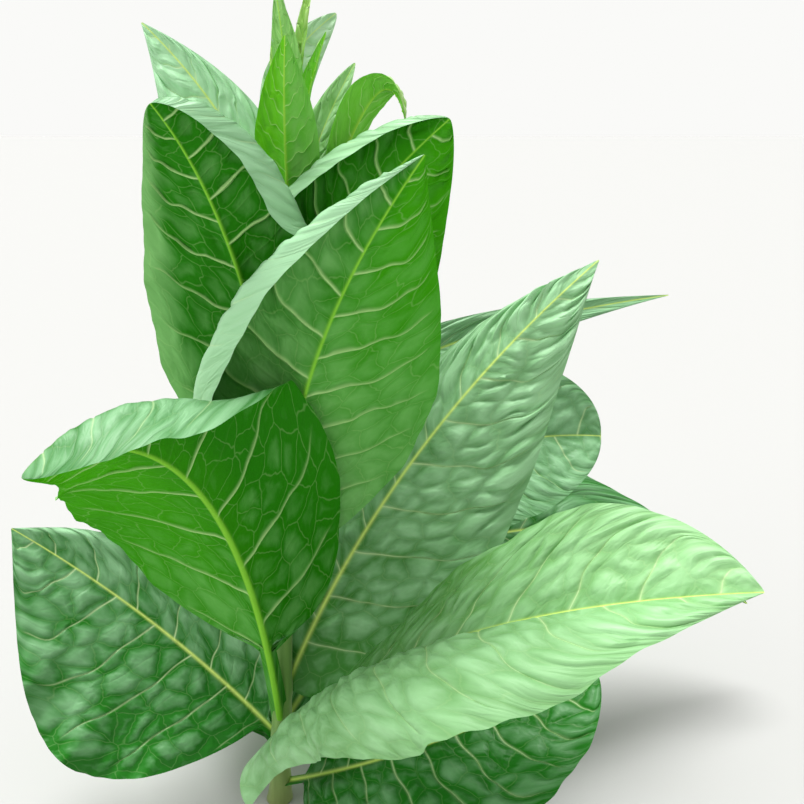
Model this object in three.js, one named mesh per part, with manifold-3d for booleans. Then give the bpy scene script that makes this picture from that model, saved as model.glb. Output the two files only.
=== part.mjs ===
// A tobacco plant shortly before it flowers: one leaning stem, cut flat at the ground, with large leaves
// on short winged stalks round it and a tuft of young leaves at its tip. Every leaf is a solid of its own.
// Millimetres, +Z up. The origin is the middle of the stem's flat foot. -Y is the side first looked at,
// and an azimuth is counted from +X towards +Y, in degrees.
import * as THREE from 'three';
import { mergeVertices } from 'three/addons/utils/BufferGeometryUtils.js';
import Module from 'manifold-3d';

const wasm = await Module();
wasm.setup();

// Stem
const STEM_HEIGHT = 1000;
const STEM_RINGS = [0, 8, 20, 40, 80, 150, 260, 380, 500, 620, 730, 830, 920, STEM_HEIGHT];
const STEM_LEAN = 0.06; // sideways travel for each millimetre of height
const STEM_SWAY = 5; // a slow double curve, seen from the side
const STEM_TIP_RADIUS = 4;
const STEM_BODY_RADIUS = 10; // what the taper adds at the foot
const STEM_TAPER = 0.8;
const FLARE = 5; // the foot's widening over the roots
const FLARE_HEIGHT = 18;
const STEM_SIDES = 16;

// Leaves
const LEAF_CLEARANCE = 0.3; // gap between a leaf's foot and the stem
const FOOT_DEPTH = 0.4; // how far out from the stem's middle a midrib starts, as a share of its radius
const LEAF_SLENDERNESS = 95; // a blade's length over its thickness
const KEEL = 0.5; // how much thicker a blade is under its midrib, as a share
const MARGIN_HALF_WIDTH = 1.2; // half the width of a blade at its tip
const FINE_STEPS = 60; // steps used to follow a midrib and half a blade
const FOLD_SHARE = 0.15; // part of half a blade over which a margin turns
const WELD = 1e-4; // corners closer than this are one

// Tuft of young leaves at the tip: each value is the lowest leaf's, and what each next leaf adds
const TUFT_LEAVES = 5;
const TUFT_AT = [870, 24];
const TUFT_AZIMUTH = [-20, 137.5];
const TUFT_REACH = [46, -6];
const TUFT_TIP_HEIGHT = [1010, 20];
const TUFT_WIDTH = [36, -3];

const up = new THREE.Vector3(0, 0, 1);
const radians = THREE.MathUtils.degToRad;
const smooth = (x, from, to) => THREE.MathUtils.smoothstep(x, from, to);
/** A value at s: one number, or a pair that goes from the stem to the tip. */
const between = (value, s) => (Array.isArray(value) ? THREE.MathUtils.lerp(...value, s) : value);

/** The stem's middle at height z. */
function stemAxis(z) {
  return new THREE.Vector3(STEM_LEAN * z, STEM_SWAY * Math.sin((2 * Math.PI * z) / STEM_HEIGHT), z);
}

function stemRadius(z) {
  const left = THREE.MathUtils.clamp(1 - z / STEM_HEIGHT, 0, 1);
  return STEM_TIP_RADIUS + STEM_BODY_RADIUS * left ** STEM_TAPER + FLARE * Math.exp(-z / FLARE_HEIGHT);
}

/** The stem as a turned profile, then leaned, with `extra` added to its radius. */
function stemGeometry(extra = 0) {
  const rings = STEM_RINGS.map((z) => new THREE.Vector2(stemRadius(z) + extra, z));
  const profile = [new THREE.Vector2(0, 0), ...rings, new THREE.Vector2(0, STEM_HEIGHT)];
  const geometry = new THREE.LatheGeometry(profile, STEM_SIDES).rotateX(Math.PI / 2);
  const position = geometry.attributes.position;
  for (let i = 0; i < position.count; i += 1) {
    const z = position.getZ(i);
    const middle = stemAxis(z);
    position.setXYZ(i, position.getX(i) + middle.x, position.getY(i) + middle.y, z);
  }
  return closed(geometry);
}

/** The same faces with shared corners and nothing but positions. */
function closed(geometry) {
  geometry.deleteAttribute('normal');
  geometry.deleteAttribute('uv');
  return mergeVertices(geometry, WELD);
}

// What a leaf has where its own line in the list says nothing.
const LEAF = {
  rise: 80, // degrees above level at which the midrib leaves the stem
  hold: 0.5, // how long it holds that direction, as a share of the straight way to the tip
  turn: 0, // roll of the blade about its midrib, in degrees: + lifts the left half
  twist: 0, // roll added on the way to the tip
  widest: 0.42, // where the blade is widest, from 0 at the stem to 1 at the tip
  point: 1.05, // how sharp the tip is: less is blunter
  stalk: 0, // the share of its length that is a narrow winged stalk
  wing: 9, // half the blade's width where it meets the stem
  left: {}, // each half: fold, curl and roll in degrees, upwards where positive, and its share of the width
  right: {}, // (fold, curl and share may be pairs, from the stem to the tip)
  rollFrom: [0.65, 0.65], // where across the half the margin turns, at the stem and at the tip
  rollAlong: [0, 0.3], // the stretch of the leaf over which the turn sets in
  rows: 12,
  columns: 5, // in each half
  green: 0x559650,
};

// Coarser blades, for the side turned away and for young leaves.
const BACK = { rows: 10, columns: 4 };
const YOUNG = { rows: 8, columns: 3 };
const TUFT = { rows: 6, columns: 2, wing: 3, green: 0x86c24a };

/** The midrib: a curve that leaves the stem at its azimuth and rise and ends at the tip. */
function midrib(leaf) {
  const azimuth = radians(leaf.azimuth);
  const out = new THREE.Vector3(Math.cos(azimuth), Math.sin(azimuth), 0);
  const start = stemAxis(leaf.at).addScaledVector(out, FOOT_DEPTH * stemRadius(leaf.at));
  const tip = new THREE.Vector3(...leaf.tip);
  const reach = leaf.hold * start.distanceTo(tip);
  const bend = start.clone()
    .addScaledVector(out, reach * Math.cos(radians(leaf.rise)))
    .addScaledVector(up, reach * Math.sin(radians(leaf.rise)));
  const curve = new THREE.QuadraticBezierCurve3(start, bend, tip);
  const stations = [];
  let across = new THREE.Vector3().crossVectors(up, out);
  for (let i = 0; i <= FINE_STEPS; i += 1) {
    const s = i / FINE_STEPS;
    const along = curve.getTangent(s);
    across = across.clone().addScaledVector(along, -across.dot(along)).normalize();
    const roll = radians(leaf.turn + leaf.twist * s);
    const left = across.clone().applyAxisAngle(along, roll);
    stations.push({ point: curve.getPoint(s), left, top: new THREE.Vector3().crossVectors(along, left) });
  }
  return { stations, length: curve.getLength() };
}

/** Half the blade's width at s: a rounded lance shape on a narrow wing. */
function halfWidth(leaf, s) {
  const b = leaf.point;
  const a = (b * leaf.widest) / (1 - leaf.widest);
  const peak = leaf.widest ** a * (1 - leaf.widest) ** b;
  const t = Math.max(0, (s - leaf.stalk) / (1 - leaf.stalk));
  return (leaf.width / 2) * ((t ** a * (1 - t) ** b) / peak) + leaf.wing * (1 - s) + MARGIN_HALF_WIDTH * s;
}

/** The bent cross-section of one half of a blade, at s along it and u from the midrib to the margin. */
function section(leaf, half, s, u) {
  const { fold = 10, curl = 8, roll = 0 } = half;
  const from = THREE.MathUtils.lerp(...leaf.rollFrom, s);
  const setIn = smooth(s, ...leaf.rollAlong);
  const start = between(fold, s);
  const bow = between(curl, s);
  const slope = (v) => radians(start + bow * v + roll * setIn * smooth(v, from, from + FOLD_SHARE));
  const steps = Math.max(1, Math.round(u * FINE_STEPS));
  let out = 0;
  let rise = 0;
  for (let i = 0; i < steps; i += 1) {
    const angle = slope(((i + 0.5) / steps) * u);
    out += (Math.cos(angle) * u) / steps;
    rise += (Math.sin(angle) * u) / steps;
  }
  return { out, rise, angle: slope(u) };
}

/** Where across half a blade its columns of corners lie: closer together where a margin turns. */
function columnPlaces(leaf, half) {
  const [from, to] = leaf.rollFrom;
  if (half.roll && from === to && from > 0) {
    return [0, from / 2, from, from + FOLD_SHARE / 2, from + FOLD_SHARE, 1];
  }
  return Array.from({ length: leaf.columns + 1 }, (_, i) => i / leaf.columns);
}

/** A blade of even thickness with a keel under its midrib, bent from a divided box. */
function bladeGeometry(leaf) {
  const { stations, length } = midrib(leaf);
  const thickness = length / LEAF_SLENDERNESS;
  const columns = 2 * leaf.columns;
  const geometry = new THREE.BoxGeometry(columns, 1, 1, columns, leaf.rows, 1);
  const position = geometry.attributes.position;
  const places = { left: columnPlaces(leaf, leaf.left), right: columnPlaces(leaf, leaf.right) };
  for (let i = 0; i < position.count; i += 1) {
    const column = Math.round(position.getX(i));
    const s = position.getY(i) + 0.5;
    const isTop = position.getZ(i) > 0;
    const side = column < 0 ? 'left' : 'right';
    const u = places[side][Math.abs(column)];
    const { out, rise, angle } = section(leaf, leaf[side], s, u);
    const { point, left, top } = stations[Math.round(s * FINE_STEPS)];
    const sign = side === 'left' ? 1 : -1;
    const width = halfWidth(leaf, s) * between(leaf[side].share ?? 1, s);
    const normal = top.clone().multiplyScalar(Math.cos(angle)).addScaledVector(left, -sign * Math.sin(angle));
    const depth = isTop ? 0.5 : -0.5 - (column === 0 ? KEEL : 0);
    const place = point.clone()
      .addScaledVector(left, sign * width * out)
      .addScaledVector(top, width * rise)
      .addScaledVector(column === 0 ? top : normal, depth * thickness);
    position.setXYZ(i, place.x, place.y, place.z);
  }
  return closed(geometry);
}

/** A closed geometry as a solid that can be joined and cut. */
function solid(geometry) {
  return new wasm.Manifold(new wasm.Mesh({
    numProp: 3,
    vertProperties: new Float32Array(geometry.attributes.position.array),
    triVerts: new Uint32Array(geometry.index.array),
  }));
}

/** The largest piece of a solid, as a geometry. */
function largestPiece(body) {
  const pieces = body.decompose().sort((p, q) => q.volume() - p.volume());
  const { vertProperties, triVerts } = pieces[0].getMesh();
  const geometry = new THREE.BufferGeometry();
  geometry.setAttribute('position', new THREE.BufferAttribute(vertProperties, 3));
  geometry.setIndex(new THREE.BufferAttribute(triVerts, 1));
  return geometry;
}

const stemRoom = solid(stemGeometry(LEAF_CLEARANCE));

function leafMesh(given) {
  const leaf = { ...LEAF, ...given };
  const geometry = largestPiece(solid(bladeGeometry(leaf)).subtract(stemRoom));
  geometry.computeVertexNormals();
  const material = new THREE.MeshStandardMaterial({ color: leaf.green, roughness: 0.6, metalness: 0 });
  const mesh = new THREE.Mesh(geometry, material);
  mesh.name = leaf.name;
  return mesh;
}

// The leaves from the ground up: `at` is the height on the stem, `tip` the place of the tip.
const leaves = [
  { name: 'leaf_low_right', at: 30, azimuth: -30, tip: [430, -40, 235], width: 320, rise: 30, turn: 35,
    twist: 10, left: { share: 0.55 }, stalk: 0.1, widest: 0.5, point: 0.7, green: 0x3f7f3c },
  { name: 'leaf_low_back', at: 60, azimuth: 100, tip: [-40, 430, 220], width: 300, rise: 50, hold: 0.6,
    stalk: 0.05, ...BACK },
  { name: 'leaf_front_right', at: 75, azimuth: -40, tip: [537, -240, 473], width: 330, rise: 60,
    twist: 40, left: { fold: [45, 25], curl: 0, share: [0, 0.85] },
    right: { fold: [55, 25], curl: [-150, -30], share: [2.1, 0.25] }, widest: 0.72, point: 0.9,
    wing: 60, green: 0x9cc878 },
  { name: 'leaf_low_left', at: 104, azimuth: 165, tip: [-350, 50, 400], width: 340, rise: 45, turn: -60,
    left: { fold: 10, curl: 10, share: 1.15 }, right: { fold: 0, curl: 10, share: 0.6 }, stalk: 0.06,
    green: 0x4c8c47 },
  { name: 'leaf_long_right', at: 120, azimuth: 50, tip: [740, 240, 170], width: 240, rise: 40, hold: 0.7,
    turn: 20, stalk: 0.1, green: 0x5c9a6c },
  { name: 'leaf_front_left', at: 130, azimuth: -95, tip: [-169, -280, 614], width: 340, rise: 76, hold: 1,
    turn: 10, twist: 30, left: { fold: 18, curl: 0, roll: -100, share: 0.88 },
    right: { fold: 27, curl: 0, share: [1.05, 0.8] }, rollFrom: [1, 0.1], rollAlong: [0.5, 0.75],
    stalk: 0.14, point: 0.65, wing: 14, green: 0x59a02f },
  { name: 'leaf_right_behind', at: 140, azimuth: 70, tip: [485, 260, 455], width: 260, rise: 50,
    hold: 0.7, turn: 20, widest: 0.65, point: 0.5, stalk: 0.2, ...BACK, green: 0x7fb07e },
  { name: 'leaf_right', at: 180, azimuth: 25, tip: [437, 150, 745], width: 300, rise: 66, turn: 25,
    twist: -5, left: { fold: 0, curl: 0, share: [0.55, 0.7] }, right: { fold: [-25, -40], curl: 0 },
    wing: 26, widest: 0.4, green: 0x7ab86a },
  { name: 'leaf_left_back', at: 215, azimuth: 125, tip: [-250, 360, 400], width: 240, rise: 65, hold: 0.6,
    turn: -20, left: { share: 0.7 }, stalk: 0.2, ...BACK },
  { name: 'leaf_back', at: 285, azimuth: 115, tip: [60, 400, 560], width: 230, rise: 68, turn: -10,
    left: { share: 0.65 }, right: { share: 0.5 }, stalk: 0.2, ...BACK },
  { name: 'leaf_left_middle', at: 325, azimuth: 162, tip: [-185, 130, 515], width: 180, rise: 68,
    turn: -10, left: { share: 0.8 }, right: { share: 0.6 }, stalk: 0.12, ...BACK },
  { name: 'leaf_right_upper', at: 370, azimuth: 106, tip: [581, 300, 669], width: 130, rise: 38,
    turn: 10, left: { share: 0.6 }, right: { share: 0.7 }, stalk: 0.15, ...BACK, green: 0x93c587 },
  { name: 'leaf_centre', at: 380, azimuth: -80, tip: [196, -170, 891], width: 310,
    left: { fold: 4, curl: 4 }, right: { fold: 2, curl: 2, roll: -130 }, rollFrom: [0.68, 0.68],
    widest: 0.43, green: 0x3f8f35 },
  { name: 'leaf_upper_left', at: 500, azimuth: -110, tip: [-65, -130, 937], width: 240, rise: 80,
    hold: 0.7, turn: 10, left: { fold: 8, curl: 4, roll: -130, share: [0.8, 1.2] },
    right: { fold: 4, curl: 4, share: [1.4, 0.5] }, rollFrom: [0.62, 0.62], rollAlong: [0.4, 0.65],
    widest: 0.45, point: 0.6, green: 0x459a34 },
  { name: 'leaf_back_upper', at: 530, azimuth: 125, tip: [-30, 270, 820], width: 170, rise: 75,
    left: { share: 0.7 }, right: { share: 0.8 }, stalk: 0.2, ...BACK },
  { name: 'leaf_behind_centre', at: 560, azimuth: -85, tip: [224, -70, 923], width: 250, rise: 82,
    turn: -8, left: { fold: 4, curl: 8 }, right: { fold: 4, curl: 8, roll: -130, share: 0.9 },
    rollAlong: [0.3, 0.6], stalk: 0.1, point: 0.75, green: 0x34852c },
  { name: 'leaf_back_right_upper', at: 570, azimuth: 75, tip: [200, 260, 850], width: 150, rise: 72,
    stalk: 0.15, ...BACK },
  { name: 'leaf_left_upper', at: 600, azimuth: 160, tip: [-150, 120, 800], width: 100, rise: 70,
    turn: -20, left: { share: 0.5 }, right: { share: 0.7 }, stalk: 0.15, ...BACK },
  { name: 'leaf_back_left', at: 660, azimuth: 85, tip: [-139, 130, 1034], width: 180, rise: 72,
    left: { fold: 4 }, right: { fold: 4, share: 0.55 }, stalk: 0.05, green: 0x8dbb8b },
  { name: 'leaf_young_arched', at: 712, azimuth: -7, tip: [179, -40, 920], width: 70, rise: 72,
    hold: 1.4, turn: -30, right: { share: 0.8 }, stalk: 0.25, ...YOUNG, green: 0x73b748 },
  { name: 'leaf_young_right', at: 760, azimuth: 57, tip: [123, 24, 982], width: 84, point: 0.8,
    left: { share: 0.6 }, right: { share: 0.7 }, stalk: 0.1, ...YOUNG, green: 0x7fb874 },
  { name: 'leaf_young_front', at: 810, azimuth: -95, tip: [57, -60, 1003], width: 62, rise: 76, ...YOUNG,
    green: 0x6fb53a },
  { name: 'leaf_young_back', at: 870, azimuth: 135, tip: [97, 110, 1042], width: 76, rise: 45,
    hold: 0.6, left: { share: 0.5 }, right: { share: 0.9 }, stalk: 0.2, point: 0.7, ...YOUNG,
    green: 0xa3cba0 },
];

const plant = new THREE.Group();
plant.name = 'tobacco_plant';

const stem = new THREE.Mesh(
  stemGeometry(),
  new THREE.MeshStandardMaterial({ color: 0x7f9c5a, roughness: 0.7, metalness: 0 }),
);
stem.name = 'stem';
stem.geometry.computeVertexNormals();
plant.add(stem);

for (const leaf of leaves) plant.add(leafMesh(leaf));

// The tuft: narrow young leaves that follow one another round the stem.
const grown = ([first, step], i) => first + step * i;
for (let i = 0; i < TUFT_LEAVES; i += 1) {
  const at = grown(TUFT_AT, i);
  const azimuth = grown(TUFT_AZIMUTH, i);
  const reach = grown(TUFT_REACH, i);
  const middle = stemAxis(at);
  const x = middle.x + reach * Math.cos(radians(azimuth));
  const y = middle.y + reach * Math.sin(radians(azimuth));
  plant.add(leafMesh({
    name: `leaf_tuft_${i + 1}`,
    at,
    azimuth,
    tip: [x, y, grown(TUFT_TIP_HEIGHT, i)],
    width: grown(TUFT_WIDTH, i),
    ...TUFT,
  }));
}

export default plant;
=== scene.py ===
# %% [markdown]
# # A tobacco plant before it flowers
# Tobacco grows one thick green stem with large soft leaves set round it in a spiral. The lowest lean out
# over the ground, the middle ones stand up and show their undersides, and the youngest are still a
# narrow tuft at the tip. The frame holds every leaf as a plain solid. Here each one is replaced by a
# finer blade that follows the same rule, with its veins, puckers and rippled margins.

# %% Load the frame
import math

import bpy
import numpy as np
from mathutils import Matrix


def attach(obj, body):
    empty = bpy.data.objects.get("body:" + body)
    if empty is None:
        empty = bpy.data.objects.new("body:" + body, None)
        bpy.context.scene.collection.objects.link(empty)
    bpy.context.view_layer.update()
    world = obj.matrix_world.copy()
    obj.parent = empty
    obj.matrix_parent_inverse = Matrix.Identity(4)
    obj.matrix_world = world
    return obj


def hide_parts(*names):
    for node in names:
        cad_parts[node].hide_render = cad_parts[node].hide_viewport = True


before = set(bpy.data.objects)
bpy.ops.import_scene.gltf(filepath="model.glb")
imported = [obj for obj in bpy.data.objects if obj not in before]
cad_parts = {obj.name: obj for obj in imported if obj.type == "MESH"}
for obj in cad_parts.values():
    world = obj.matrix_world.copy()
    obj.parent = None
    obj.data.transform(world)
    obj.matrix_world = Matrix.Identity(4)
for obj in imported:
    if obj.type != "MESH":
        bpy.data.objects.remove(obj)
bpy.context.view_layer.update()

# %% [markdown]
# ## Studio
# The photograph looks down on the plant from about its own height, one metre away. The camera is placed
# in metres and turned by its pitch alone. The light is that of a day with thin cloud: a bright haze low
# down, a dimmer sky above it and two broad suns, one above and a weak one from the left. They light the
# tops of the leaves and leave their undersides in soft shade. Area lamps could do that too, but a sun is
# as strong on the far leaves as on the near ones, and its angle alone sets how soft the shadows are.

# %% Camera
PHOTO_SIZE = 804
FOCAL_PIXELS = 862
SENSOR_MM = 36
CAMERA_PLACE = (0.175, -1.0, 0.92)
CAMERA_PITCH = 18

lens_data = bpy.data.cameras.new("camera")
lens_data.sensor_width = SENSOR_MM
lens_data.lens = SENSOR_MM * FOCAL_PIXELS / PHOTO_SIZE
camera = bpy.data.objects.new("camera", lens_data)
camera.location = CAMERA_PLACE
camera.rotation_euler = (math.radians(90 - CAMERA_PITCH), 0, 0)
bpy.context.collection.objects.link(camera)
bpy.context.scene.camera = camera
print("lens", round(lens_data.lens, 1), "mm")


# %% Colours and nodes
def linear(code, alpha=1.0):
    """An sRGB hex value as the linear colour that Blender works in."""
    channels = [int(code[i:i + 2], 16) / 255 for i in (1, 3, 5)]
    return tuple(c / 12.92 if c < 0.04045 else ((c + 0.055) / 1.055) ** 2.4 for c in channels) + (alpha,)


def add(tree, kind, inputs=None, **settings):
    """Adds one node: its settings first, then each input, a value or a link from a node or socket."""
    node = tree.nodes.new(kind)
    for name, value in settings.items():
        setattr(node, name, value)
    for key, value in (inputs or {}).items():
        if isinstance(key, str):
            socket = next(s for s in node.inputs if s.name == key and s.enabled)
        else:
            socket = node.inputs[key]
        if isinstance(value, bpy.types.Node):
            value = next(s for s in value.outputs if s.enabled)
        if isinstance(value, bpy.types.NodeSocket):
            tree.links.new(value, socket)
        else:
            socket.default_value = value
    return node


def new_material(name):
    """An empty node material."""
    material = bpy.data.materials.new(name)
    material.use_nodes = True
    material.node_tree.nodes.clear()
    return material


print("pale green", [round(c, 3) for c in linear("#a9d3a0")])

# %% Floor
FLOOR_HALF = 60.0
FLOOR_DROP = 0.0005
SQUARE = ((-1, -1), (1, -1), (1, 1), (-1, 1))

floor_mesh = bpy.data.meshes.new("floor")
corners = [(x * FLOOR_HALF, y * FLOOR_HALF, -FLOOR_DROP) for x, y in SQUARE]
floor_mesh.from_pydata(corners, [], [(0, 1, 2, 3)])
floor = bpy.data.objects.new("floor", floor_mesh)
bpy.context.collection.objects.link(floor)

# Matte wall paint scatters light every way. The eye sees soft shadows on it and no reflection.
floor_paint = new_material("Matte paint, pale grey")
shade = add(floor_paint.node_tree, "ShaderNodeBsdfPrincipled",
            {"Base Color": linear("#c0c0be"), "Roughness": 0.9, "Specular IOR Level": 0.2})
add(floor_paint.node_tree, "ShaderNodeOutputMaterial", {"Surface": shade})
floor_mesh.materials.append(floor_paint)
print("floor", 2 * FLOOR_HALF, "m wide")

# %% Sky
HAZE_GLOW = 1.0
SKY_GLOW = 0.35
TOP_GLOW = 0.4
HAZE_TOP = 0.2
SKY_START = 0.5

world = bpy.data.worlds.new("studio")
bpy.context.scene.world = world
world.use_nodes = True
air = world.node_tree
air.nodes.clear()
way = add(air, "ShaderNodeTexCoord").outputs["Generated"]
height = add(air, "ShaderNodeSeparateXYZ", {0: way}).outputs["Z"]
haze = add(air, "ShaderNodeMapRange", {0: height, 1: HAZE_TOP, 2: SKY_START, 3: HAZE_GLOW, 4: SKY_GLOW})
overhead = add(air, "ShaderNodeMapRange", {0: height, 1: SKY_START, 2: 1.0, 3: 0.0, 4: TOP_GLOW})
glow = add(air, "ShaderNodeMath", {0: overhead, 1: haze}, operation="ADD")
sky = add(air, "ShaderNodeBackground", {"Color": linear("#fafaf8"), "Strength": glow})
add(air, "ShaderNodeOutputWorld", {"Surface": sky})
bpy.context.scene.view_settings.view_transform = "Standard"
print("sky from", HAZE_GLOW, "at the horizon to", SKY_GLOW + TOP_GLOW, "overhead")

# %% Suns
PLANT_MIDDLE = np.array([0.15, 0.0, 0.5])
SUNS = {
    "soft sun above": dict(place=(-0.3, 0.45, 2.6), degrees=30, strength=3.7),
    "soft sun at the side": dict(place=(-1.8, -0.9, 1.6), degrees=50, strength=0.7),
}
for name, sun in SUNS.items():
    sunlight = bpy.data.lights.new(name, "SUN")
    sunlight.angle = math.radians(sun["degrees"])
    sunlight.energy = sun["strength"]
    lamp = bpy.data.objects.new(name, sunlight)
    lamp.location = sun["place"]
    direction = np.array(sun["place"]) - PLANT_MIDDLE
    tilt = math.acos(direction[2] / np.linalg.norm(direction))
    lamp.rotation_euler = (tilt, 0, math.atan2(direction[1], direction[0]) + math.pi / 2)
    bpy.context.collection.objects.link(lamp)
print("suns", list(SUNS))

# %% [markdown]
# ## The rule of a leaf
# A leaf is a strip bent twice. Its midrib is a curve that leaves the stem at one angle and bends over to
# the tip. Across it, each half of the blade has its own slope, which may turn over near the margin. Such
# a leaf could be sculpted, but no two would then be alike in growth. So one rule makes them all, the one
# that the frame's solids follow, in millimetres, with more places along the leaf and across it.

# %% The stem's line
MM = 0.001
STEM_HEIGHT = 1000
STEM_LEAN = 0.06
STEM_SWAY = 5
STEM_TIP_RADIUS = 4
STEM_BODY_RADIUS = 10
STEM_TAPER = 0.8
FLARE = 5
FLARE_HEIGHT = 18


def stem_axis(z):
    """The stem's middle at height z."""
    return np.array([STEM_LEAN * z, STEM_SWAY * math.sin(2 * math.pi * z / STEM_HEIGHT), z])


def stem_radius(z):
    """The stem's radius at height z."""
    left = min(max(1 - z / STEM_HEIGHT, 0), 1)
    return STEM_TIP_RADIUS + STEM_BODY_RADIUS * left ** STEM_TAPER + FLARE * math.exp(-z / FLARE_HEIGHT)


print("stem radius at the foot", stem_radius(0), "and at the tip", stem_radius(STEM_HEIGHT))

# %% What every leaf has
# The midrib starts at a height on the stem (at) with a heading (azimuth) and a steepness (rise), keeps
# them for a share of its way (hold) and ends at the tip. Turn and twist roll the whole blade about it.
# Widest and point shape the outline, on a bare share (stalk) and a narrow wing. Each half has a fold at
# the midrib, a curl, a share of the width and a roll, which sets in from roll_from outwards. A pair goes
# from the stem to the tip. Tint, edge and sun are (left half, right half): how pale the blade is, how
# much paler at its margin, and how yellow the light makes it. The paleness is partly the leaf's own
# colour and partly painted shade: where it rises from the stem to the tip, the blade is painted darker
# at its foot, deep in the plant.
LEAF = dict(rise=80, hold=0.5, turn=0, twist=0, widest=0.42, point=1.05, stalk=0, wing=9,
            left={}, right={}, roll_from=(0.65, 0.65), roll_along=(0, 0.3),
            ripple=9, ripples=4, phase=0.0, pucker=0.7, tint_and_shade=((0.2, 0.5), (0.2, 0.5)), sun=(0, 0),
            edge=(0, 0), laterals=9, gap=16, columns=32, skins="grown")
FOLD = 10
CURL = 8


def smooth(x, start, end):
    """From 0 at the start to 1 at the end, with no kink at either."""
    t = np.clip((x - start) / (end - start), 0, 1)
    return t * t * (3 - 2 * t)


def between(value, s):
    """A value at s: one number, or a pair that goes from the stem to the tip."""
    return value[0] + (value[1] - value[0]) * s if isinstance(value, tuple) else value


print("named sizes of a leaf", len(LEAF))

# %% Midrib and outline
STATIONS = 240
FOOT_DEPTH = 0.4
TIP_HALF_WIDTH = 1.2


def midrib(leaf):
    """Places along the midrib, the directions to the blade's left and upper side, and its length."""
    azimuth, rise = math.radians(leaf["azimuth"]), math.radians(leaf["rise"])
    out = np.array([math.cos(azimuth), math.sin(azimuth), 0])
    start = stem_axis(leaf["at"]) + out * FOOT_DEPTH * stem_radius(leaf["at"])
    tip = np.array(leaf["tip"], float)
    reach = leaf["hold"] * np.linalg.norm(tip - start)
    bend = start + reach * (out * math.cos(rise) + np.array([0, 0, math.sin(rise)]))
    s = np.linspace(0, 1, STATIONS + 1)[:, None]
    point = start * (1 - s) ** 2 + bend * 2 * s * (1 - s) + tip * s ** 2
    along = (bend - start) * (1 - s) + (tip - bend) * s
    along /= np.linalg.norm(along, axis=1, keepdims=True)
    left = np.zeros_like(point)
    side = np.array([-math.sin(azimuth), math.cos(azimuth), 0])
    for i, direction in enumerate(along):
        side = side - direction * (side @ direction)
        side /= np.linalg.norm(side)
        left[i] = side
    top = np.cross(along, left)
    roll = np.radians(leaf["turn"] + leaf["twist"] * s)
    length = np.linalg.norm(np.diff(point, axis=0), axis=1).sum()
    turned_left = left * np.cos(roll) + top * np.sin(roll)
    return point, turned_left, np.cross(along, turned_left), length


def half_width(leaf, s):
    """Half the blade's width at s: a rounded lance shape on a narrow wing."""
    b = leaf["point"]
    a = b * leaf["widest"] / (1 - leaf["widest"])
    peak = leaf["widest"] ** a * (1 - leaf["widest"]) ** b
    t = np.clip((s - leaf["stalk"]) / (1 - leaf["stalk"]), 0, 1)
    return leaf["width"] / 2 * t ** a * (1 - t) ** b / peak + leaf["wing"] * (1 - s) + TIP_HALF_WIDTH * s


print("stations along a midrib", STATIONS)

# %% Cross-section with its ripples
SLOPE_STEPS = 24
FOLD_SHARE = 0.15
RIPPLE_LAG = 0.3
FRILLS = 13
FRILL_SHARE = 0.5
FRILL_BEAT = 0.37
CALM_FOOT = (0.05, 0.3)
CALM_TIP = (0.85, 1.0)


def section(leaf, side, s, u):
    """How far out and up half a blade reaches at u, as shares of its width, with its ripples."""
    half = leaf[side]
    fold, curl = between(half.get("fold", FOLD), s), between(half.get("curl", CURL), s)
    roll_start = between(leaf["roll_from"], s)
    set_in = half.get("roll", 0) * smooth(s, *leaf["roll_along"])
    lag = RIPPLE_LAG if side == "left" else 0
    wave = np.sin(2 * math.pi * (leaf["ripples"] * s + leaf["phase"] + lag))
    frill = np.sin(2 * math.pi * (FRILLS * s + 3 * leaf["phase"]))
    frill = frill * np.sin(2 * math.pi * FRILL_BEAT * FRILLS * s)
    calm = smooth(s, *CALM_FOOT) * (1 - smooth(s, *CALM_TIP))
    wave = (wave + FRILL_SHARE * frill * u ** 2) * leaf["ripple"] * calm
    out = np.zeros_like(s)
    rise = np.zeros_like(s)
    for k in range(SLOPE_STEPS):
        v = u * (k + 0.5) / SLOPE_STEPS
        slope = fold + curl * v + set_in * smooth(v, roll_start, roll_start + FOLD_SHARE)
        slope = np.radians(slope + wave * v ** 2)
        out += np.cos(slope) * u / SLOPE_STEPS
        rise += np.sin(slope) * u / SLOPE_STEPS
    return out, rise


print("frills along a margin", FRILLS)

# %% [markdown]
# ## Veins
# Side veins leave the midrib in turn on either side and arch towards the tip. Underneath they stand out
# like cords. On top they lie in shallow grooves and the skin swells between them. They could be tubes
# laid on the blade, or bump in its material. But if the rows of the mesh run along them, each vein is a
# clean ridge of the blade itself with few faces. So a row's place along the leaf grows from the midrib to
# the margin.

# %% Grid of a blade
ARCH = 0.20
ARCH_STRAIGHT = 0.6
COLUMN_POWER = 1.4
VEIN_WANDER = 4.0
WANDER_WAVES = ((9, 37, 1.0), (19, -23, 0.6))
SIDE_TURN = 2


def row_places(leaf, rows):
    """Places of the rows along a leaf, drawn together at each side vein: one every half gap, in turn."""
    half_gap = leaf["gap"] // 2
    step, inside = np.divmod(np.arange(rows + 1), half_gap)
    eased = (1 - np.cos(math.pi * inside / half_gap)) / 2
    return (step + eased) * half_gap / rows


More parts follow.
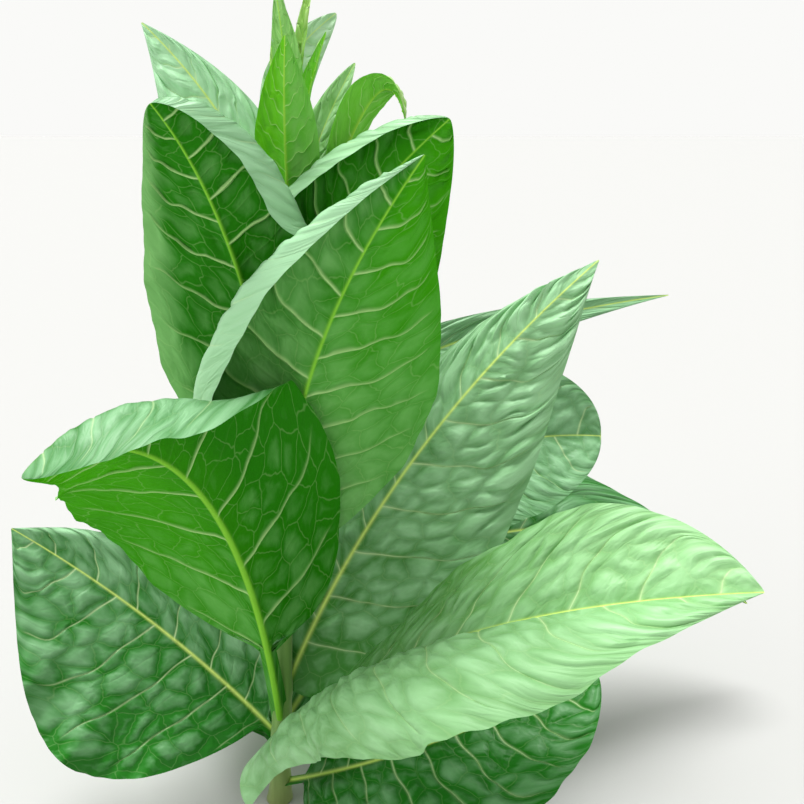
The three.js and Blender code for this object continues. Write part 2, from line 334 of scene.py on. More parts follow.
def blade_grid(leaf, length):
    """Where the points lie: t along the midrib, s along the leaf where the row has arched to, u across."""
    t = row_places(leaf, leaf["gap"] * (leaf["laterals"] + 1))[:, None]
    share = (np.arange(leaf["columns"] + 1) / leaf["columns"]) ** COLUMN_POWER
    u = np.concatenate([share[::-1], share[1:]])[None, :]
    is_left = np.concatenate([np.ones(leaf["columns"] + 1, bool), np.zeros(leaf["columns"], bool)])
    turn = 2 * math.pi * leaf["phase"] + np.where(is_left, 0, SIDE_TURN)[None, :]
    arch = ARCH * (ARCH_STRAIGHT * u + (1 - ARCH_STRAIGHT) * u ** 3)
    wander = sum(size * np.sin(across * u + along * t + number * turn)
                 for number, (across, along, size) in enumerate(WANDER_WAVES, 1))
    s = t + (arch + wander * VEIN_WANDER / length * np.sqrt(u)) * 4 * t * (1 - t)
    return t, s, np.broadcast_to(u, s.shape), is_left, turn


def blade_places(leaf, line, s, u, is_left):
    """The middle surface's points, how far each is from the midrib and turned over, and the widths."""
    stations = np.linspace(0, 1, STATIONS + 1)
    here, to_left, to_top = (
        np.stack([np.interp(s, stations, values[:, k]) for k in range(3)], -1) for values in line)
    width = half_width(leaf, s)
    places = np.zeros(s.shape + (3,))
    across = np.zeros(s.shape)
    turned = np.zeros(s.shape)
    for side, sign, chosen in (("left", 1, is_left), ("right", -1, ~is_left)):
        out, rise = section(leaf, side, s[:, chosen], u[:, chosen])
        if leaf[side].get("roll"):
            fold_line = between(leaf["roll_from"], s[:, chosen])
            turned[:, chosen] = (smooth(u[:, chosen], fold_line, fold_line + FOLD_SHARE)
                                 * smooth(s[:, chosen], *leaf["roll_along"]))
        wide = width[:, chosen] * between(leaf[side].get("share", 1), s[:, chosen])
        places[:, chosen] = (here[:, chosen] + to_left[:, chosen] * (sign * wide * out)[..., None]
                             + to_top[:, chosen] * (wide * rise)[..., None])
        across[:, chosen] = sign * wide * u[:, chosen]
    return places, across, turned, width


print("rows follow veins that arch over", ARCH, "of the leaf's length")

# %% Ribs, grooves and swellings
MIDRIB_RADIUS = (5.0, 1.2)
MIDRIB_HEIGHT = (6.5, 0.8)
MIDRIB_VALLEY = 14
LATERAL_RADIUS = (1.9, 1.1)
LATERAL_HEIGHT = (2.8, 0.5)
LATERAL_FOOT = (0.02, 0.12)
LATERAL_END = (0.82, 0.97)
MINOR_SHARE = 0.25
MINOR_RADIUS = 0.7
MINOR_END = (0.35, 0.75)
THIN_MARGIN = (0.9, 1.0)
FLAT_MARGIN = (0.8, 1.0)
FLAT_FOOT = (0.05, 0.2)
FLAT_TURNED = 0.8
RIDGE_PINCH = 0.6
SWELL_POWER = 0.7
FULL_LENGTH = 650
LEAST_SCALE = 0.12
BLADE_HALF_THICKNESS = 0.5
PALE_MARGIN = (0.6, 1.0)
# The turned-over band is painted paler: painted light of the sky on its upturned face.
TURNED_BAND_SKY_LIGHT = 0.9
SIDES_BLEND = 0.3
LEAST_WIDTH = 1e-6


def side_veins(leaf, length, scale, t, s, u, is_left):
    """The ridges of the side veins, and how many gaps between veins each point lies along the leaf."""
    gap = 1 / (leaf["laterals"] + 1)
    gaps = t / gap - np.where(is_left, 0.5, 1.0)[None, :]
    radius = between(LATERAL_RADIUS, u) * scale
    fade = smooth(s, *LATERAL_FOOT) * (1 - smooth(u, *LATERAL_END))
    off_main = np.abs(gaps - np.round(gaps)) * gap * length
    off_minor = np.abs(gaps + 0.5 - np.round(gaps + 0.5)) * gap * length
    minor = np.exp(-(off_minor / (MINOR_RADIUS * radius)) ** 2)
    minor = minor * (1 - smooth(u, *MINOR_END)) * MINOR_SHARE
    return np.maximum(np.exp(-(off_main / radius) ** 2), minor) * fade, gaps


def blade(leaf):
    """The middle surface of a blade as rows of points from left to right, and what is known at each."""
    *line, length = midrib(leaf)
    scale = min(1.0, length / FULL_LENGTH + LEAST_SCALE)
    t, s, u, is_left, turn = blade_grid(leaf, length)
    places, across, turned, width = blade_places(leaf, line, s, u, is_left)
    ridge, gaps = side_veins(leaf, length, scale, t, s, u, is_left)

    row = 1 / (len(t) - 1)
    edge = (1 - smooth(u, *THIN_MARGIN)) * smooth(t, 0, row) * (1 - smooth(t, 1 - row, 1))
    from_midrib = np.abs(across)
    spine = np.exp(-(from_midrib / (between(MIDRIB_RADIUS, s) * scale)) ** 2)
    rib = np.maximum(spine * between(MIDRIB_HEIGHT, s), ridge * between(LATERAL_HEIGHT, u)) * scale * edge
    away = 1 - np.exp(-(from_midrib / (MIDRIB_VALLEY * scale)) ** 2)
    # Two slow waves across each other make some swellings higher than their neighbours.
    patches = 0.75 + 0.5 * np.sin(11 * u + 5 * turn) * np.sin(29 * t + 7 * u + turn)
    bulge = away * (1 - smooth(u, *FLAT_MARGIN)) * smooth(s, *FLAT_FOOT) * (1 - FLAT_TURNED * turned)
    swell = np.abs(np.sin(math.pi * (gaps % 1))) ** SWELL_POWER * bulge * patches
    # From 0 on the right half to 1 on the left one, with a soft change near the midrib.
    lean = np.clip(across / (SIDES_BLEND * width + LEAST_WIDTH), -1, 1) * 0.5 + 0.5

    def sides(name):
        of_left, of_right = leaf[name]
        return between(of_left, s) * lean + between(of_right, s) * (1 - lean)

    known = {
        "vein": ridge * (0.95 - 0.3 * u),
        "midrib": spine,
        "rib": rib * MM,
        "swell": swell,
        "cushion": bulge * (1 - RIDGE_PINCH * ridge),
        "thick": BLADE_HALF_THICKNESS * scale * edge * MM,
        # Paleness: the leaf's own colour with painted shade at the foot, paler margins, and painted sky
        # light on a turned-over band.
        "tint_and_shade": sides("tint_and_shade") + sides("edge") * smooth(u, *PALE_MARGIN) + TURNED_BAND_SKY_LIGHT * turned,
        "sun": sides("sun"),
    }
    flat = np.stack([across, t * length * np.ones_like(s)], -1) * MM
    return places * MM, known, flat


print("ridges of the side veins", LATERAL_HEIGHT[0], "mm high at the midrib")


# %% The blade as a Blender mesh
def blade_mesh(leaf):
    """The middle surface as a mesh, its upper side out, with its attributes and the blade laid flat."""
    places, known, flat = blade(leaf)
    rows, columns = places.shape[:2]
    index = np.arange(rows * columns).reshape(rows, columns)
    quads = np.stack([index[:-1, :-1], index[:-1, 1:], index[1:, 1:], index[1:, :-1]], -1).reshape(-1, 4)
    mesh = bpy.data.meshes.new(leaf["name"])
    mesh.from_pydata(places.reshape(-1, 3), [], quads.tolist())
    for name, values in known.items():
        attribute = mesh.attributes.new(name, "FLOAT", "POINT")
        values = np.broadcast_to(values, (rows, columns)).ravel().astype(np.float32)
        attribute.data.foreach_set("value", values)
    flat_map = mesh.uv_layers.new(name="flat")
    flat_map.data.foreach_set("uv", flat.reshape(-1, 2)[quads.ravel()].ravel().astype(np.float32))
    return mesh


print("quads in the default blade", LEAF["gap"] * (LEAF["laterals"] + 1) * 2 * LEAF["columns"])

# %% [markdown]
# ## Leaf skins
# A grown tobacco leaf is matt and slightly sticky, with a pale bloom of fine hairs on top that makes it
# look almost blue under an open sky, and a smooth, more saturated underside. Tender leaves are paler and
# yellower on both sides, so there are four skins: two sides, grown and tender. Painted colour could
# never follow every leaf, so attributes on the mesh say where a blade is pale, where shade is painted on
# it, where the light makes it yellow and where its veins run, and the shader only mixes between named
# greens. It also paints shade into the grooves of its relief and light onto the swellings.

# %% The net between the veins
# On the real leaf the smallest veins enclose fields 3 to 8 mm wide, and the skin's grain is finer still.
# Both are too fine to show from a metre away, so they are drawn as coarse as they need to show.
NET_MM = 32
GRAIN_MM = 11
NET_PULL = 0.016
PULLS_PER_METRE = 45.0


def net_place(tree, flat):
    """Where a net of small veins is read: the blade laid flat, pulled about so that no line is straight."""
    pulls = add(tree, "ShaderNodeTexNoise", {"Vector": flat, "Scale": PULLS_PER_METRE, "Detail": 2.0})
    pull = add(tree, "ShaderNodeVectorMath", {0: pulls.outputs["Color"], "Scale": NET_PULL},
               operation="SCALE")
    return add(tree, "ShaderNodeVectorMath", {0: flat, 1: pull}, operation="ADD")


print("net of small veins", NET_MM, "mm wide")

# %% Colour and relief of a skin
CLOUDS_PER_METRE = 22.0
CLOUD_DEPTH = 0.8
CLOUD_LEVEL = -0.45
# Painted shade in the grooves of the net of small veins, painted light on the cushions between them.
GROOVE_PAINTED_SHADE = -0.16
CUSHION_PAINTED_LIGHT = 0.14
# Painted light on the swellings between the side veins, painted shade in the grooves beside them.
SWELL_PAINTED_SHADING = 0.22
LINE_WIDTH = 0.03
RELIEF_HEIGHT = 0.0012
HAIR_COLOUR = "#dff0e4"


def pale_mix_with_painted_shade(tree, flat, net):
    """How pale a skin is: its set paleness and clouds, with painted shade and light on fields and
    swellings.
    """
    tint_and_shade = add(tree, "ShaderNodeAttribute", attribute_name="tint_and_shade").outputs["Fac"]
    swell = add(tree, "ShaderNodeAttribute", attribute_name="swell").outputs["Fac"]
    clouds = add(tree, "ShaderNodeTexNoise", {
        "Vector": flat, "Scale": CLOUDS_PER_METRE, "Detail": 4.0, "Roughness": 0.6})
    clouds = add(tree, "ShaderNodeMath", {0: clouds.outputs[0], 1: CLOUD_DEPTH, 2: CLOUD_LEVEL},
                 operation="MULTIPLY_ADD")
    # Painted shade along the net's grooves and painted light on its cushions.
    painted_relief_shade = add(tree, "ShaderNodeMapRange", {0: net, 1: 0.0, 2: 0.3, 3: GROOVE_PAINTED_SHADE, 4: CUSHION_PAINTED_LIGHT})
    # Painted light on the swellings and painted shade in the grooves beside the side veins.
    raised = add(tree, "ShaderNodeMath", {0: swell, 1: SWELL_PAINTED_SHADING, 2: -0.6 * SWELL_PAINTED_SHADING},
                 operation="MULTIPLY_ADD")
    mix = add(tree, "ShaderNodeMath", {0: tint_and_shade, 1: clouds}, operation="ADD")
    mix = add(tree, "ShaderNodeMath", {0: mix, 1: painted_relief_shade}, operation="ADD")
    return add(tree, "ShaderNodeMath", {0: mix, 1: raised}, operation="ADD", use_clamp=True)


def leaf_skin(name, deep, pale, sunlit, vein, midrib, vein_strength, net_strength,
              roughness, gloss, sheen):
    """A blade's side: two greens mixed by paleness and painted shade, yellower in the sun, under pale
    veins.
    """
    material = new_material(name)
    tree = material.node_tree
    sun = add(tree, "ShaderNodeAttribute", attribute_name="sun").outputs["Fac"]
    ridge = add(tree, "ShaderNodeAttribute", attribute_name="vein").outputs["Fac"]
    spine = add(tree, "ShaderNodeAttribute", attribute_name="midrib").outputs["Fac"]
    flat = add(tree, "ShaderNodeUVMap", uv_map="flat").outputs["UV"]
    bent = net_place(tree, flat)
    net, fine = (add(tree, "ShaderNodeTexVoronoi", {"Vector": bent, "Scale": 1000 / size},
                     feature="DISTANCE_TO_EDGE", voronoi_dimensions="2D") for size in (NET_MM, GRAIN_MM))

    mix = pale_mix_with_painted_shade(tree, flat, net)
    body = add(tree, "ShaderNodeMix", {"Factor": mix, "A": linear(deep), "B": linear(pale)},
               data_type="RGBA")
    lit = add(tree, "ShaderNodeMix", {"Factor": sun, "A": body, "B": linear(sunlit)}, data_type="RGBA")
    line = add(tree, "ShaderNodeMapRange", {0: net, 1: 0.0, 2: LINE_WIDTH, 3: net_strength, 4: 0.0})
    narrow = add(tree, "ShaderNodeMath", {0: ridge, 1: 2.0}, operation="POWER")
    pale_line = add(tree, "ShaderNodeMath", {0: narrow, 1: vein_strength}, operation="MULTIPLY")
    lines = add(tree, "ShaderNodeMath", {0: pale_line, 1: line}, operation="MAXIMUM", use_clamp=True)
    veined = add(tree, "ShaderNodeMix", {"Factor": lines, "A": lit, "B": linear(vein)}, data_type="RGBA")
    core = add(tree, "ShaderNodeMath", {0: spine, 1: 2.0}, operation="POWER", use_clamp=True)
    colour = add(tree, "ShaderNodeMix", {"Factor": core, "A": veined, "B": linear(midrib)},
                 data_type="RGBA")

    cushion = add(tree, "ShaderNodeMapRange", {0: net, 1: 0.0, 2: 0.35, 3: 0.0, 4: 1.0})
    grain = add(tree, "ShaderNodeMapRange", {0: fine, 1: 0.0, 2: 0.4, 3: 0.0, 4: 0.4})
    height = add(tree, "ShaderNodeMath", {0: cushion, 1: grain}, operation="ADD")
    relief = add(tree, "ShaderNodeBump", {"Height": height, "Strength": 0.7, "Distance": RELIEF_HEIGHT})
    surface = add(tree, "ShaderNodeBsdfPrincipled", {
        "Base Color": colour, "Roughness": roughness, "Specular IOR Level": gloss,
        "Sheen Weight": sheen, "Sheen Roughness": 0.4, "Sheen Tint": linear(HAIR_COLOUR),
        "Normal": relief})
    add(tree, "ShaderNodeOutputMaterial", {"Surface": surface})
    return material


print("relief between the small veins", RELIEF_HEIGHT / MM, "mm")

# %% The four skins
# A grown leaf's upper side wears a bloom of short hairs: bluish pale green, matt, with broad highlights.
GROWN_TOP = leaf_skin(
    "Tobacco leaf, upper side with its bloom", deep="#1b7410", pale="#aaddac", sunlit="#a0d480",
    vein="#d4eeb0", midrib="#d8f07c", vein_strength=0.9, net_strength=0.1, roughness=0.45, gloss=0.25,
    sheen=0.08)
# Its underside has no bloom: a deep, even green that hardly shines, crossed by pale raised veins.
GROWN_UNDERSIDE = leaf_skin(
    "Tobacco leaf, smooth underside", deep="#217a00", pale="#84c272", sunlit="#4fba00", vein="#c4ea9c",
    midrib="#8ad03c", vein_strength=0.95, net_strength=0.16, roughness=0.6, gloss=0.1, sheen=0.0)
# A tender leaf's upper side is a thin new skin: yellowish green, silky, with its veins hardly paler.
TENDER_TOP = leaf_skin(
    "Tender tobacco leaf, upper side with its bloom", deep="#5fae3c", pale="#bfe6bc", sunlit="#c4ea70",
    vein="#d8f0ae", midrib="#d4ec84", vein_strength=0.5, net_strength=0.05, roughness=0.45, gloss=0.35,
    sheen=0.3)
# Its underside is bright, because much light comes through so thin a blade, with a clear net of veins.
TENDER_UNDERSIDE = leaf_skin(
    "Tender tobacco leaf, bright underside", deep="#4cb41c", pale="#a4dc84", sunlit="#7cd818",
    vein="#d4f4a4", midrib="#b0e450", vein_strength=0.9, net_strength=0.08, roughness=0.6, gloss=0.1,
    sheen=0.0)
SKINS = {
    "grown": {"Upper Skin": GROWN_TOP, "Lower Skin": GROWN_UNDERSIDE},
    "young": {"Upper Skin": TENDER_TOP, "Lower Skin": TENDER_UNDERSIDE},
}
print("skins", [skin.name for pair in SKINS.values() for skin in pair.values()])

# %% [markdown]
# ## From surface to blade
# A real blade is about half a millimetre thick, and drawn a little thicker here, and it is quilted all
# over. Solidify and Displace modifiers could do some of that, but not give each side its own ribs. So
# Geometry Nodes give every middle surface its body. The tree lifts the swellings between the side veins,
# adds smaller cushions in a cell pattern, makes an upper and a lower skin from the same surface, and
# joins them at the thin margin. Its sizes are inputs, so a tender leaf can be smoother than a grown one.

# %% Geometry Nodes tree of the blade
SWELL_MM = 3.5
CUSHION_MM = 7
CUSHION_EDGE = 0.35
CUSHION_LEAST = 0.35
CUSHION_SPREAD = 0.9
GROOVE_SHARE = 0.25
MERGE_DISTANCE = 0.00001
MARGIN_ANGLE = math.radians(75)


def socket(tree, name, kind, value=None):
    """Adds a named input to a tree."""
    item = tree.interface.new_socket(name, in_out="INPUT", socket_type=kind)
    if value is not None:
        item.default_value = value


def quilt(tree, given, known, normal):
    """Lifts the surface between the side veins, and again in cells of uneven height."""
    flat = add(tree, "GeometryNodeInputNamedAttribute", {"Name": "flat"}, data_type="FLOAT_VECTOR")
    place = net_place(tree, flat)
    per_metre = add(tree, "ShaderNodeMath", {0: 1.0, 1: given["Cushion Size"]}, operation="DIVIDE")
    cells = {"Vector": place, "Scale": per_metre}
    edge = add(tree, "ShaderNodeTexVoronoi", cells, feature="DISTANCE_TO_EDGE", voronoi_dimensions="2D")
    chance = add(tree, "ShaderNodeTexVoronoi", cells, feature="F1", voronoi_dimensions="2D")
    dome = add(tree, "ShaderNodeMapRange", {0: edge, 1: 0.0, 2: CUSHION_EDGE},
               interpolation_type="SMOOTHERSTEP")
    share = add(tree, "ShaderNodeSeparateXYZ", {0: chance.outputs["Color"]})
    share = add(tree, "ShaderNodeMath", {0: share, 1: CUSHION_SPREAD, 2: CUSHION_LEAST},
                operation="MULTIPLY_ADD")
    cushion = add(tree, "ShaderNodeMath", {0: dome, 1: share}, operation="MULTIPLY")
    cushion = add(tree, "ShaderNodeMath", {0: cushion, 1: known["cushion"]}, operation="MULTIPLY")
    cushion = add(tree, "ShaderNodeMath", {0: cushion, 1: given["Cushion Height"]}, operation="MULTIPLY")
    swell = add(tree, "ShaderNodeMath", {0: known["swell"], 1: given["Swell Height"]},
                operation="MULTIPLY")
    lift = add(tree, "ShaderNodeMath", {0: cushion, 1: swell}, operation="ADD")
    raised = add(tree, "ShaderNodeVectorMath", {0: normal, "Scale": lift}, operation="SCALE")
    return add(tree, "GeometryNodeSetPosition", {"Geometry": given["Surface"], "Offset": raised})


def blade_tree():
    """The tree that turns a middle surface into a closed blade with two skins."""
    tree = bpy.data.node_groups.new("leaf blade", "GeometryNodeTree")
    socket(tree, "Surface", "NodeSocketGeometry")
    socket(tree, "Swell Height", "NodeSocketFloat", SWELL_MM * MM)
    socket(tree, "Cushion Height", "NodeSocketFloat", CUSHION_MM * MM)
    socket(tree, "Cushion Size", "NodeSocketFloat", NET_MM * MM)
    socket(tree, "Groove Share", "NodeSocketFloat", GROOVE_SHARE)
    socket(tree, "Upper Skin", "NodeSocketMaterial")
    socket(tree, "Lower Skin", "NodeSocketMaterial")
    tree.interface.new_socket("Blade", in_out="OUTPUT", socket_type="NodeSocketGeometry")
    given = add(tree, "NodeGroupInput").outputs
    known = {name: add(tree, "GeometryNodeInputNamedAttribute", {"Name": name}, data_type="FLOAT")
             for name in ("rib", "swell", "cushion", "thick")}
    normal = add(tree, "GeometryNodeInputNormal")
    quilted = quilt(tree, given, known, normal)

    groove = add(tree, "ShaderNodeMath", {0: known["rib"], 1: given["Groove Share"]}, operation="MULTIPLY")
    above = add(tree, "ShaderNodeMath", {0: known["thick"], 1: groove}, operation="SUBTRACT")
    below = add(tree, "ShaderNodeMath", {0: known["thick"], 1: known["rib"]}, operation="ADD")
    below = add(tree, "ShaderNodeMath", {0: below, 1: -1.0}, operation="MULTIPLY")
    sides = []
    for distance, skin in ((above, given["Upper Skin"]), (below, given["Lower Skin"])):
        offset = add(tree, "ShaderNodeVectorMath", {0: normal, "Scale": distance}, operation="SCALE")
        sheet = add(tree, "GeometryNodeSetPosition", {"Geometry": quilted, "Offset": offset})
        sides.append(add(tree, "GeometryNodeSetMaterial", {"Geometry": sheet, "Material": skin}))
    sides[1] = add(tree, "GeometryNodeFlipFaces", {"Mesh": sides[1]})
    both = add(tree, "GeometryNodeJoinGeometry")
    for side in reversed(sides):
        tree.links.new(side.outputs[0], both.inputs[0])
    closed = add(tree, "GeometryNodeMergeByDistance", {"Geometry": both, "Distance": MERGE_DISTANCE})

    shaded = add(tree, "GeometryNodeSetShadeSmooth", {"Geometry": closed})
    angle = add(tree, "GeometryNodeInputMeshEdgeAngle").outputs["Unsigned Angle"]
    sharp = add(tree, "FunctionNodeCompare", {"A": angle, "B": MARGIN_ANGLE}, operation="GREATER_THAN")
    crisp = add(tree, "GeometryNodeSetShadeSmooth",
                {"Geometry": shaded, "Selection": sharp, "Shade Smooth": False}, domain="EDGE")
    real = add(tree, "GeometryNodeRealizeInstances", {"Geometry": crisp})
    add(tree, "NodeGroupOutput", {"Blade": real})
    return tree


blade_growth = blade_tree()
print("tree", blade_growth.name, "with", len(blade_growth.nodes), "nodes")


# %% From a tree to a plain mesh
def grown(name, mesh, tree, sizes):
    """Runs a tree on a mesh with its named inputs and returns the result as a plain mesh object."""
    piece = bpy.data.objects.new(name, mesh)
    bpy.context.collection.objects.link(piece)
    modifier = piece.modifiers.new("growth", "NODES")
    modifier.node_group = tree
    identifiers = {item.name: item.identifier for item in tree.interface.items_tree
                   if item.in_out == "INPUT"}
    for key, value in sizes.items():
        modifier[identifiers[key]] = value
    evaluated = piece.evaluated_get(bpy.context.evaluated_depsgraph_get())
    result = bpy.data.meshes.new_from_object(evaluated)
    result.name = name
    piece.modifiers.clear()
    piece.data = result
    bpy.data.meshes.remove(mesh)
    return piece


print("inputs", [item.name for item in blade_growth.interface.items_tree if item.in_out == "INPUT"])

# %% [markdown]
# ## The leaves
# Each leaf is one entry: the height of its foot on the stem, the direction in which it leaves, the place
# of its tip and its width, and then only what sets it apart. Leaves could be scattered by a tree of
# nodes, but then none would stand where it does in the photograph. Leaves that show less have fewer
# rows. Only the small ones in the tuft follow a spiral by a loop.

# %% List of the leaves
BACK = dict(laterals=9, gap=10, columns=20, ripple=6, pucker=0.5)
YOUNG = dict(laterals=9, gap=10, columns=14, ripple=4, pucker=0.35, skins="young")

leaves = [
    dict(name="leaf_low_right", at=30, azimuth=-30, tip=(430, -40, 235), width=320, rise=30, turn=35,
         twist=10, left={"share": 0.55}, stalk=0.1, widest=0.5, point=0.7, pucker=0.45, tint_and_shade=(0.1, 0.15)),
    dict(name="leaf_low_back", at=60, azimuth=100, tip=(-40, 430, 220), width=300, rise=50, hold=0.6,
         stalk=0.05, **BACK),
    # Its far half is painted dark near the stem: painted shade from the leaf above it.
    dict(name="leaf_front_right", at=75, azimuth=-40, tip=(537, -240, 473), width=330, rise=60,
         twist=40, left={"fold": (45, 25), "curl": 0, "share": (0, 0.85)},
         right={"fold": (55, 25), "curl": (-150, -30), "share": (2.1, 0.25)}, widest=0.72, point=0.9,
         wing=60, ripple=12, pucker=0.5, tint_and_shade=((-0.6, 0.95), (0.6, 0.7)), sun=((0, 0.4), (0.25, 0.3))),
    dict(name="leaf_low_left", at=104, azimuth=165, tip=(-350, 50, 400), width=340, rise=45, turn=-60,
         left={"fold": 10, "curl": 10, "share": 1.15}, right={"fold": 0, "curl": 10, "share": 0.6},
         stalk=0.06, pucker=0.4, laterals=6, gap=24, tint_and_shade=((0.0, 0.45), (0.2, 0.5)), edge=(0, 0.5)),
    dict(name="leaf_long_right", at=120, azimuth=50, tip=(740, 240, 170), width=240, rise=40, hold=0.7,
         turn=20, stalk=0.1, ripple=7, pucker=0.5, tint_and_shade=(0.35, 0.35)),
    dict(name="leaf_front_left", at=130, azimuth=-95, tip=(-169, -280, 614), width=340, rise=76, hold=1,
         turn=10, twist=30, left={"fold": 18, "curl": 0, "roll": -100, "share": 0.88},
         right={"fold": 27, "curl": 0, "share": (1.05, 0.8)}, roll_from=(1, 0.1), roll_along=(0.5, 0.75),
         stalk=0.14, point=0.65, wing=14, ripple=5, pucker=0.3, laterals=7,
         gap=20, tint_and_shade=((0.4, -0.5), (0.6, -0.7)), sun=((0, 0), (0.1, 0.9))),
    dict(name="leaf_right_behind", at=140, azimuth=70, tip=(485, 260, 455), width=260, rise=50,
         hold=0.7, turn=20, widest=0.65, point=0.5, stalk=0.2, **BACK, tint_and_shade=(0.6, 0.6)),
    dict(name="leaf_right", at=180, azimuth=25, tip=(437, 150, 745), width=300, rise=66, turn=25,
         twist=-5, left={"fold": 0, "curl": 0, "share": (0.55, 0.7)}, right={"fold": (-25, -40), "curl": 0},
         wing=26, widest=0.4, pucker=1.05, tint_and_shade=((0.1, 1.0), (0.1, 1.0)), sun=(0.1, 0.1)),
    dict(name="leaf_left_back", at=215, azimuth=125, tip=(-250, 360, 400), width=240, rise=65, hold=0.6,
         turn=-20, left={"share": 0.7}, stalk=0.2, **BACK),
    dict(name="leaf_back", at=285, azimuth=115, tip=(60, 400, 560), width=230, rise=68, turn=-10,
         left={"share": 0.65}, right={"share": 0.5}, stalk=0.2, **BACK),
    dict(name="leaf_left_middle", at=325, azimuth=162, tip=(-185, 130, 515), width=180, rise=68,
         turn=-10, left={"share": 0.8}, right={"share": 0.6}, stalk=0.12, **BACK),
    dict(name="leaf_right_upper", at=370, azimuth=106, tip=(581, 300, 669), width=130, rise=38,
         turn=10, left={"share": 0.6}, right={"share": 0.7}, stalk=0.15, **BACK, tint_and_shade=(0.8, 0.8)),
    # Its blade is painted pale near the stem: a painted sheen on its underside.
    dict(name="leaf_centre", at=380, azimuth=-80, tip=(196, -170, 891), width=310,
         left={"fold": 4, "curl": 4}, right={"fold": 2, "curl": 2, "roll": -130}, roll_from=(0.68, 0.68),
         widest=0.43, ripple=4, pucker=0.5, tint_and_shade=((1.0, 0.0), (0.9, 0.3)), sun=((0, 0.5), 0)),
    dict(name="leaf_upper_left", at=500, azimuth=-110, tip=(-65, -130, 937), width=240, rise=80,
         hold=0.7, turn=10, left={"fold": 8, "curl": 4, "roll": -130, "share": (0.8, 1.2)},
         right={"fold": 4, "curl": 4, "share": (1.4, 0.5)}, roll_from=(0.62, 0.62), roll_along=(0.4, 0.65),
         widest=0.45, point=0.6, ripple=4, pucker=0.5, laterals=7, gap=20, tint_and_shade=(0.1, 0.1),
         edge=(0, 1.3)),
    dict(name="leaf_back_upper", at=530, azimuth=125, tip=(-30, 270, 820), width=170, rise=75,
         left={"share": 0.7}, right={"share": 0.8}, stalk=0.2, **BACK),
    dict(name="leaf_behind_centre", at=560, azimuth=-85, tip=(224, -70, 923), width=250, rise=82,
         turn=-8, left={"fold": 4, "curl": 8}, right={"fold": 4, "curl": 8, "roll": -130, "share": 0.9},
         roll_along=(0.3, 0.6), stalk=0.1, point=0.75, ripple=5, tint_and_shade=(0.1, 0.1), sun=(0.5, 0.1)),
    dict(name="leaf_back_right_upper", at=570, azimuth=75, tip=(200, 260, 850), width=150, rise=72,
         stalk=0.15, **BACK),
    dict(name="leaf_left_upper", at=600, azimuth=160, tip=(-150, 120, 800), width=100, rise=70,
         turn=-20, left={"share": 0.5}, right={"share": 0.7}, stalk=0.15, **BACK),
    dict(name="leaf_back_left", at=660, azimuth=85, tip=(-139, 130, 1034), width=180, rise=72,
         left={"fold": 4}, right={"fold": 4, "share": 0.55}, stalk=0.05, tint_and_shade=(1.2, 1.2)),
    dict(name="leaf_young_arched", at=712, azimuth=-7, tip=(179, -40, 920), width=70, rise=72,
         hold=1.4, turn=-30, right={"share": 0.8}, stalk=0.25, **YOUNG, tint_and_shade=(0.6, 0.6), sun=(0.5, 0.5)),
    dict(name="leaf_young_right", at=760, azimuth=57, tip=(123, 24, 982), width=84, point=0.8,
         left={"share": 0.6}, right={"share": 0.7}, stalk=0.1, **YOUNG, tint_and_shade=(0.6, 0.6), sun=(0.1, 0.1)),
    dict(name="leaf_young_front", at=810, azimuth=-95, tip=(57, -60, 1003), width=62, rise=76, **YOUNG,
         tint_and_shade=(0.6, 0.2), sun=(0.2, 0.6)),
    dict(name="leaf_young_back", at=870, azimuth=135, tip=(97, 110, 1042), width=76, rise=45, hold=0.6,
         left={"share": 0.5}, right={"share": 0.9}, stalk=0.2, point=0.7, **YOUNG, tint_and_shade=(0.9, 0.9)),
]
print("large and young leaves", len(leaves))

# %% The tuft at the tip
TUFT = dict(laterals=8, gap=8, columns=8, ripple=4, pucker=0.2, wing=3, skins="young")
TUFT_TINTS = (0.4, 0.2, 1.0, 0.3, 0.6)
TUFT_SUN = 0.8
TUFT_FOOT, FOOT_STEP = 870, 24
TUFT_TOP, TOP_STEP = 1010, 20
TUFT_REACH, REACH_STEP = 46, 6
TUFT_WIDTH, WIDTH_STEP = 36, 3
TUFT_AZIMUTH, SPIRAL_STEP = -20, 137.5

for i, tint_and_shade in enumerate(TUFT_TINTS):
    foot = TUFT_FOOT + FOOT_STEP * i
    azimuth = TUFT_AZIMUTH + SPIRAL_STEP * i
    reach = TUFT_REACH - REACH_STEP * i
    middle = stem_axis(foot)
    tip = (middle[0] + reach * math.cos(math.radians(azimuth)),
           middle[1] + reach * math.sin(math.radians(azimuth)), TUFT_TOP + TOP_STEP * i)
    sun = TUFT_SUN - TUFT_SUN * tint_and_shade
    leaves.append(dict(name=f"leaf_tuft_{i + 1}", at=foot, azimuth=azimuth, tip=tip,
                       width=TUFT_WIDTH - WIDTH_STEP * i, tint_and_shade=(tint_and_shade, tint_and_shade), sun=(sun, sun), **TUFT))
print("leaves", len(leaves))

# %% Grow the leaves
PHASE_STEP = 0.37
SWELL_BASE = 0.5

triangles = 0
for number, given in enumerate(leaves):
    leaf = {**LEAF, **given, "phase": number * PHASE_STEP}
    piece = grown(leaf["name"] + "_blade", blade_mesh(leaf), blade_growth, {
        "Swell Height": SWELL_MM * (SWELL_BASE + (1 - SWELL_BASE) * leaf["pucker"]) * MM,
        "Cushion Height": CUSHION_MM * leaf["pucker"] * MM,
        **SKINS[leaf["skins"]],
    })
    triangles += 2 * len(piece.data.polygons)
    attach(piece, "root")
    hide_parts(leaf["name"])
print("triangles in the leaves", triangles)

